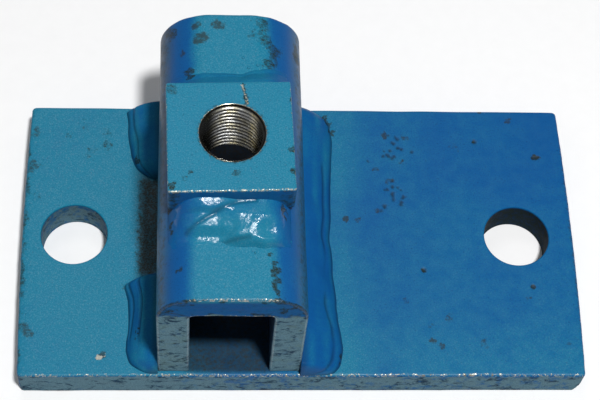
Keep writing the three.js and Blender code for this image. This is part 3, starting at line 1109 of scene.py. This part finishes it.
# Distance from the wall to each side bead's toe along the bead: (y, out).
RIGHT_TOE = [
    (-40, 7.4), (-38, 9.8), (-33, 10.9), (-21, 9.7), (-13, 9.3), (-1, 8.5), (11, 9.0), (30, 10.2),
    (36, 9.2), (39.6, 7.0),
]
LEFT_FRONT_TOE = [
    (-39.4, 4.6), (-37, 7.0), (-33, 7.9), (-27, 7.3), (-19, 7.5), (-14.5, 8.7), (-12, 7.0),
]
LEFT_REAR_TOE = [(17.4, 4.2), (20, 6.0), (24, 7.4), (30, 8.4), (36, 9.0), (39.6, 9.6)]

RIPPLE_PITCH = 2.1
RIPPLE_LAG = 2.0
ROOT_OVERLAP = 0.05
LAP_WIDTH = 0.55
LAP_DEPTH = 0.30
# How far the glossy part of the weld in front of the block reaches from its middle.
GLOSS_REACH = 12.8


def bead_swell(y, noses):
    """How full a bead is at each place along it: 1 in the middle, less at its rounded ends."""
    front = np.clip((y - y[0]) / noses[0], 0, 1)
    rear = np.clip((y[-1] - y) / noses[1], 0, 1)
    swell = np.sqrt(1 - (1 - front) ** 2.2) * np.sqrt(1 - (1 - rear) ** 2.2)
    return np.maximum(swell, 0.03)


def bead_relief(y, t, swell, seed):
    """Ripples and lumps on a bead, over a grid of y along it and t from the wall to the toe."""
    place = np.stack(np.broadcast_arrays(y[:, None], 8 * t, float(seed)), axis=-1).reshape(-1, 3)
    wander = noise(place, 6, seed + 3).reshape(len(y), len(t))
    lumps = 0.26 * noise(place, 4.5, seed + 4).reshape(len(y), len(t))
    # A ripple trails behind the arc, so its crest lies further back in mid bead.
    across = 4 * t * (1 - t)
    phase = (y[:, None] + RIPPLE_LAG * across) / RIPPLE_PITCH * 2 * math.pi
    ripple = 0.025 * np.sin(phase + 2.5 * wander) * across
    return (ripple + lumps * across) * swell[:, None]


def fold_crease(y, t, centre, width, seed):
    """1 along a cold lap that wanders and comes and goes along a bead, 0 away from it."""
    wandering = centre + 0.06 * noise(on_line(y), 7, seed + 5)[:, None]
    strength = ramp(0.15, 0.5, 0.5 + 0.6 * noise(on_line(y), 8, seed + 6))[:, None]
    return strength * np.exp(-(((t - wandering) / width) ** 2))


def side_bead(name, node, toe, side, up, noses, folds, tone_and_shade, stains, seed):
    """A fillet bead between a wall and the plate. side is 1 to the right, -1 to the left.

    up is the bead's height on the wall. noses are the lengths of the rounded front and rear
    ends. folds are cold laps that run along the bead: (place across from 0 at the wall to 1 at
    the toe, width, depth).
    """
    wall = CHANNEL_X + side * HALF_WIDTH
    toe_y, toe_out = np.array(toe, float).T
    y = np.linspace(toe_y[0], toe_y[-1], BEAD_STEPS[0])
    t = 1 - (1 - np.linspace(0, 1, BEAD_STEPS[1])) ** 1.5
    swell = bead_swell(y, noses)
    out = smoothed(np.interp(y, toe_y, toe_out), 17) + 0.4
    out = out + 0.22 * noise(on_line(y), 6, seed) + 0.06 * noise(on_line(y), 1.9, seed + 1)
    out = out * (0.35 + 0.65 * swell)
    height = up * swell * (1 + 0.07 * noise(on_line(y), 9, seed + 2))
    fall = (1 - t**1.75) ** 0.85
    lift = bead_relief(y, t, swell, seed)
    # Painted shade at the toe, at the two ends and along the wall.
    toe_shade = 0.45 * ramp(0.90, 0.985, t)
    end_shade = 0.45 * ramp(0.7, 0.15, swell)[:, None]
    dark = np.maximum(np.maximum(toe_shade, end_shade), 0.35 * ramp(0.25, 0.05, t))
    # Each cold lap is a groove with painted shade laid in it.
    for centre, width, depth in folds:
        crease = fold_crease(y, t, centre, width, seed)
        lift = lift - depth * crease
        dark = np.maximum(dark, 0.40 * crease)

    x = wall + side * (out[:, None] * t + 0.45 * lift)
    z = PLATE_TOP + height[:, None] * fall + 0.85 * lift * ramp(1.0, 0.93, t)
    top = np.stack(np.broadcast_arrays(x, y[:, None], np.maximum(z, PLATE_TOP - 0.03)), axis=-1)
    bottom = top.copy()
    bottom[:, :, 0] = wall - side * ROOT_OVERLAP + (top[:, :, 0] - wall) * 0.98
    bottom[:, :, 2] = PLATE_TOP - ROOT_OVERLAP
    top[:, 0, 0] = wall - side * ROOT_OVERLAP
    shell = grid_solid(top, bottom)
    points = shell.points
    masks = weld_masks(points, dark, stains, seed, tone_and_shade)
    masks["tone_and_shade"] += 0.30 * noise(points * (1, 0.15, 1), 1.8, seed + 7)
    return new_piece(name, shell, points, [bead_paint], [node], masks)


def bead_right():
    stains = [
        (7.2, 37.0, 1.0, 1.1, 0.9), (8.4, 35.0, 1.0, 1.1, 0.9), (9.2, 32.6, 0.8, 1.0, 0.9),
        (9.9, -35.0, 0.8, 0.9, 0.8), (9.6, -37.0, 0.8, 0.9, 0.8),
    ]
    return side_bead(
        "bead_right", "weld_right", RIGHT_TOE, side=1, up=6.4, noses=(0.8, 5.0),
        folds=[(0.74, 0.045, 0.40)], tone_and_shade=0.18, stains=stains, seed=301,
    )


def bead_left_front():
    stains = [(-42.7, -28.0 - 0.9 * step, 2.6, 0.6, 1.0) for step in range(7)]
    stains += [(-42.3, -17.0 - 0.9 * step, 2.6, 0.6, 0.9) for step in range(3)]
    return side_bead(
        "bead_left_front", "weld_left_front", LEFT_FRONT_TOE, side=-1, up=6.2, noses=(4.5, 4.0),
        folds=[(0.58, 0.04, 0.75), (0.86, 0.04, 0.4)], tone_and_shade=0.48, stains=stains, seed=321,
    )


def bead_left_rear():
    return side_bead(
        "bead_left_rear", "weld_left_rear", LEFT_REAR_TOE, side=-1, up=6.2, noses=(5.0, 1.6),
        folds=[(0.80, 0.04, 0.3)], tone_and_shade=0.48, stains=[(-44.2, 22.0, 2.0, 1.2, 0.9)], seed=341,
    )


def rounded_profile(points, distance):
    """Height at each distance along a line of profile points whose corners are rounded off."""
    reach, height = np.array(points, float).T
    fine = np.linspace(reach[0], reach[-1], 400)
    return np.interp(distance, fine, smoothed(np.interp(fine, reach, height), 37))


def distance_to_line(across, along, line):
    """Distance from each grid point to a line through some points."""
    nearest = np.full(across.shape, np.inf)
    for (x0, y0), (x1, y1) in itertools.pairwise(line):
        run, rise = x1 - x0, y1 - y0
        t = ((across - x0) * run + (along - y0) * rise) / (run**2 + rise**2)
        t = np.clip(t, 0, 1)
        nearest = np.minimum(nearest, np.hypot(across - x0 - t * run, along - y0 - t * rise))
    return nearest


def block_weld_height(wide, distance, down, ends, profiles, fade, lumps, seed):
    """Height of a block weld over its grid, before its laps are cut into it."""
    place = np.stack([wide, distance, 0 * distance], axis=-1).reshape(-1, 3)
    shift = 0.7 * noise(place, 6, seed + 3).reshape(distance.shape)
    scaled = profiles[0][-1][0] * down + shift * np.sin(down * math.pi)
    left_part, right_part = (rounded_profile(profile, scaled) for profile in profiles)
    height = left_part + (right_part - left_part) * ramp(-23.0, -17.0, wide + shift)
    crest = (1 - fade * ends) * (1 + 0.05 * noise(on_line(wide[:, 0]), 7, seed + 2))
    height = np.clip(height, 0, None) * crest[:, None]
    for lump_x, lump_distance, radius, swell in lumps:
        away = np.hypot(wide - lump_x, distance - lump_distance) / radius
        height += swell * np.exp(-(away**2)) * ramp(1.0, 0.8, down)
    rough = 0.14 * noise(place, 2.6, seed + 4) + 0.030 * noise(place, 0.55, seed + 5)
    return height + rough.reshape(distance.shape) * ramp(1.0, 0.85, down)


def block_weld(name, nodes, rear, profiles, fade, lumps, laps, stains, seed):
    """The weld between the block and the channel's top, in front of it or behind it.

    profiles are the bead's height at distances from the block, at the left and at the right.
    fade is how much of the height is lost at the two ends. lumps are rounded swells: (x,
    distance from the block, radius, height). laps are the grooves where one pass ends on
    another, with painted shade laid in them, as lines of (x, distance from the block).
    """
    side = 1 if rear else -1
    across = np.linspace(-1, 1, BLOCK_WELD_STEPS[0])
    down = np.linspace(0, 1, BLOCK_WELD_STEPS[1])
    x = BLOCK_CENTRE[0] + (BLOCK_SIZE / 2 - 0.5) * across
    ends = np.abs(across) ** 6
    reach = profiles[0][-1][0] * (1 - 0.12 * ends * (not rear))
    reach = reach + 1.0 * noise(on_line(x), 9, seed) + 0.25 * noise(on_line(x), 2.4, seed + 1)
    distance = reach[:, None] * down
    wide = x[:, None] + 0 * distance
    height = block_weld_height(wide, distance, down, ends, profiles, fade, lumps, seed)
    dark = np.zeros(distance.shape)
    # Each lap is a groove with painted shade laid in it.
    for lap in laps:
        groove = np.exp(-((distance_to_line(wide, distance, lap) / LAP_WIDTH) ** 2))
        height -= LAP_DEPTH * groove
        dark = np.maximum(dark, 0.34 * groove)

    face = BLOCK_CENTRE[1] + side * BLOCK_SIZE / 2 + math.tan(BLOCK_TURN) * (x - BLOCK_CENTRE[0])
    y = face[:, None] + side * (distance - 0.1)
    base = outer_height(wide, y)
    top = np.stack([wide, y, base + np.maximum(height, 0) - 0.02], axis=-1)
    bottom = np.stack([wide, y, base - 0.4], axis=-1)
    shell = grid_solid(top, bottom)
    points = shell.points
    # In front, the weld is glossy in the middle and duller at its two ends.
    middles = points[np.array(shell.faces)].mean(axis=1)
    from_middle = np.abs(middles[:, 0] - BLOCK_CENTRE[0]) + 0.7 * noise(middles, 1.5, seed + 6)
    shell.zones = (from_middle > GLOSS_REACH).astype(int).tolist()
    materials = [bead_paint if rear else weld_paint, bead_paint]
    masks = weld_masks(points, dark, stains, seed, tone_and_shade=0.14)
    # Flat parts, more so towards the toe, are given more teal: the paint's tone, and painted shade
    # too.
    toward_toe = np.tile(down, 2 * len(x))
    flat_part = ramp(HALF_WIDTH - 5, HALF_WIDTH - 11, np.abs(points[:, 0] - CHANNEL_X))
    masks["tone_and_shade"] += flat_part * (0.42 if rear else 0.50 + 0.34 * ramp(0.05, 0.85, toward_toe))
    return new_piece(name, shell, points, materials, nodes, masks)


def block_weld_front():
    """Two passes that have run together, so one piece stands for both of the CAD's."""
    left_profile = [
        (0, 6.1), (0.6, 5.9), (2.2, 5.2), (3.2, 3.9), (4.6, 3.4), (6.6, 2.5), (8.3, 0.6),
        (9.6, 0.12), (10.4, 0),
    ]
    right_profile = [
        (0, 4.9), (1.5, 4.75), (4.0, 4.5), (5.4, 4.0), (9.0, 2.4), (9.8, 1.4), (10.4, 0),
    ]
    lumps = [(-14.6, 7.2, 3.4, 0.30), (-19.6, 6.0, 1.3, -0.35), (-11.0, 7.2, 2.0, -0.7)]
    laps = [
        [(-30.4, 6.8), (-28.0, 5.3), (-25.2, 3.8), (-22.0, 2.2), (-18.3, 0.7), (-14.0, 0.3)],
        [(-23.0, 9.6), (-20.0, 9.3), (-15.5, 9.0)],
    ]
    stains = [
        (-33.9, -13.8, 39.6, 1.4, 0.9), (-33.3, -19.0, 40.2, 1.6, 0.8),
        (-7.6, -15.6, 43.4, 1.5, 1.0), (-7.4, -17.4, 42.6, 1.2, 1.0),
        (-9.0, -18.8, 43.0, 1.5, 0.9), (-18.6, -22.8, 42.8, 1.2, 0.6),
    ]
    return block_weld(
        "block_weld_front", ["weld_block_front_upper", "weld_block_front_lower"], rear=False,
        profiles=(left_profile, right_profile), fade=0.88, lumps=lumps, laps=laps, stains=stains,
        seed=401,
    )


def block_weld_rear():
    profile = [(0, 4.3), (1.0, 4.1), (4.0, 2.9), (7.2, 0.7), (8.2, 0.35), (8.9, 0)]
    return block_weld(
        "block_weld_rear", ["weld_block_rear"], rear=True, profiles=(profile, profile), fade=0.12,
        lumps=[(-14.0, 4.0, 3.0, 0.2)], laps=[], stains=[(-30.0, 24.5, 42.4, 1.6, 0.9)], seed=431,
    )


SPATTER = [
    (-8.1, -23.7), (-5.4, -22.3), (-14.0, -26.2), (-16.4, 28.9), (-15.0, 25.9), (-12.7, 26.7),
]
SPATTER_POINTS = 18


def spatter():
    """Beads of weld spatter that stuck to the channel beside the block's welds."""
    random = np.random.default_rng(9)
    shell = Shell()
    for x, y in SPATTER:
        size = random.uniform(0.22, 0.42)
        z = float(outer_height(np.array([x]), np.array([y]))[0])
        rings = []
        for polar in np.linspace(0.06, math.pi - 0.06, 12):
            ring = circle(SPATTER_POINTS) * math.sin(polar) * size
            place = np.column_stack([ring, np.full(SPATTER_POINTS, polar)]) + x
            bump = 1 + 0.18 * noise(place, 0.6, 5)
            height = np.full(SPATTER_POINTS, z + size * 0.35 + size * 0.8 * math.cos(polar))
            rings.append(shell.add(np.column_stack([ring * bump[:, None] + (x, y), height])))
        shell.stack(rings)
        shell.faces += [rings[0].tolist(), rings[-1].tolist()]
        shell.zones += [0, 0]
    points = shell.points
    masks = blank_masks(points)
    masks["tone_and_shade"] = np.ones(len(points))
    return new_piece("spatter", shell, points, [weld_paint], [], masks)


# ---------------- camera, floor and light

AIM = Vector((-0.6, 5.8, 20.0)) * MM
CAMERA_AZIMUTH = math.radians(7.907)
CAMERA_ELEVATION = math.radians(61.116)
CAMERA_ROLL = math.radians(7.312)
CAMERA_DISTANCE = 439.26 * MM
LENS = 99.97
SENSOR_WIDTH = 36.0
FLOOR_REACH = 3000 * MM


def make_camera():
    data = bpy.data.cameras.new("camera")
    data.lens = LENS
    data.sensor_width = SENSOR_WIDTH
    data.clip_start = 0.01
    camera = new_object("camera", data)
    level = math.cos(CAMERA_ELEVATION)
    forward = Vector((
        math.sin(CAMERA_AZIMUTH) * level,
        math.cos(CAMERA_AZIMUTH) * level,
        -math.sin(CAMERA_ELEVATION),
    ))
    camera.location = AIM - forward * CAMERA_DISTANCE
    turn = forward.to_track_quat("-Z", "Y").to_matrix().to_4x4()
    camera.matrix_world = (
        Matrix.Translation(camera.location) @ turn @ Matrix.Rotation(CAMERA_ROLL, 4, "Z")
    )
    bpy.context.scene.camera = camera


def make_floor():
    """A plain pale floor under the plate."""
    mesh = bpy.data.meshes.new("floor")
    signs = ((-1, -1), (1, -1), (1, 1), (-1, 1))
    mesh.from_pydata([(FLOOR_REACH * x, FLOOR_REACH * y, 0) for x, y in signs], [], [(0, 1, 2, 3)])
    m = Nodes("floor_paper")
    grain = m.noise(4.0, 4.0, 0.6)
    paper = m.mix(grain, rgb(0.86, 0.86, 0.86), rgb(0.90, 0.90, 0.90))
    m.fill_in(m.shader, Base_Color=paper, Roughness=0.9)
    mesh.materials.append(m.material)
    floor = new_object("floor", mesh)


def area_light(name, place, target, size, power, colour=(1, 1, 1)):
    """A round light, placed and sized in metres."""
    data = bpy.data.lights.new(name, "AREA")
    data.shape = "DISK"
    data.size = size
    data.energy = power
    data.color = colour
    light = new_object(name, data)
    light.location = place
    aim = Vector(target) - Vector(place)
    light.rotation_euler = aim.to_track_quat("-Z", "Y").to_euler()


def make_light():
    world = bpy.data.worlds.new("studio")
    world.use_nodes = True
    background = world.node_tree.nodes["Background"]
    background.inputs["Color"].default_value = rgb(0.95, 0.97, 1.0)
    background.inputs["Strength"].default_value = 0.18
    bpy.context.scene.world = world
    area_light("key", (0.107, -0.24, 0.90), (0, 0, 0.02), size=0.085, power=8.3)
    area_light("panel_rear", (-0.12, 0.42, 0.80), (-0.02, 0, 0.02), size=0.30, power=0.55)
    area_light(
        "panel_left", (-0.60, -0.16, 0.68), (-0.02, 0, 0.04), size=0.30, power=0.16,
        colour=(1.0, 0.92, 0.72),
    )
    bpy.context.scene.view_settings.view_transform = "Standard"


# ---------------- the whole scene

base_plate()
socket_channel()
tapped_block()
bead_right()
bead_left_front()
bead_left_rear()
block_weld_front()
block_weld_rear()
spatter()
make_camera()
make_floor()
make_light()
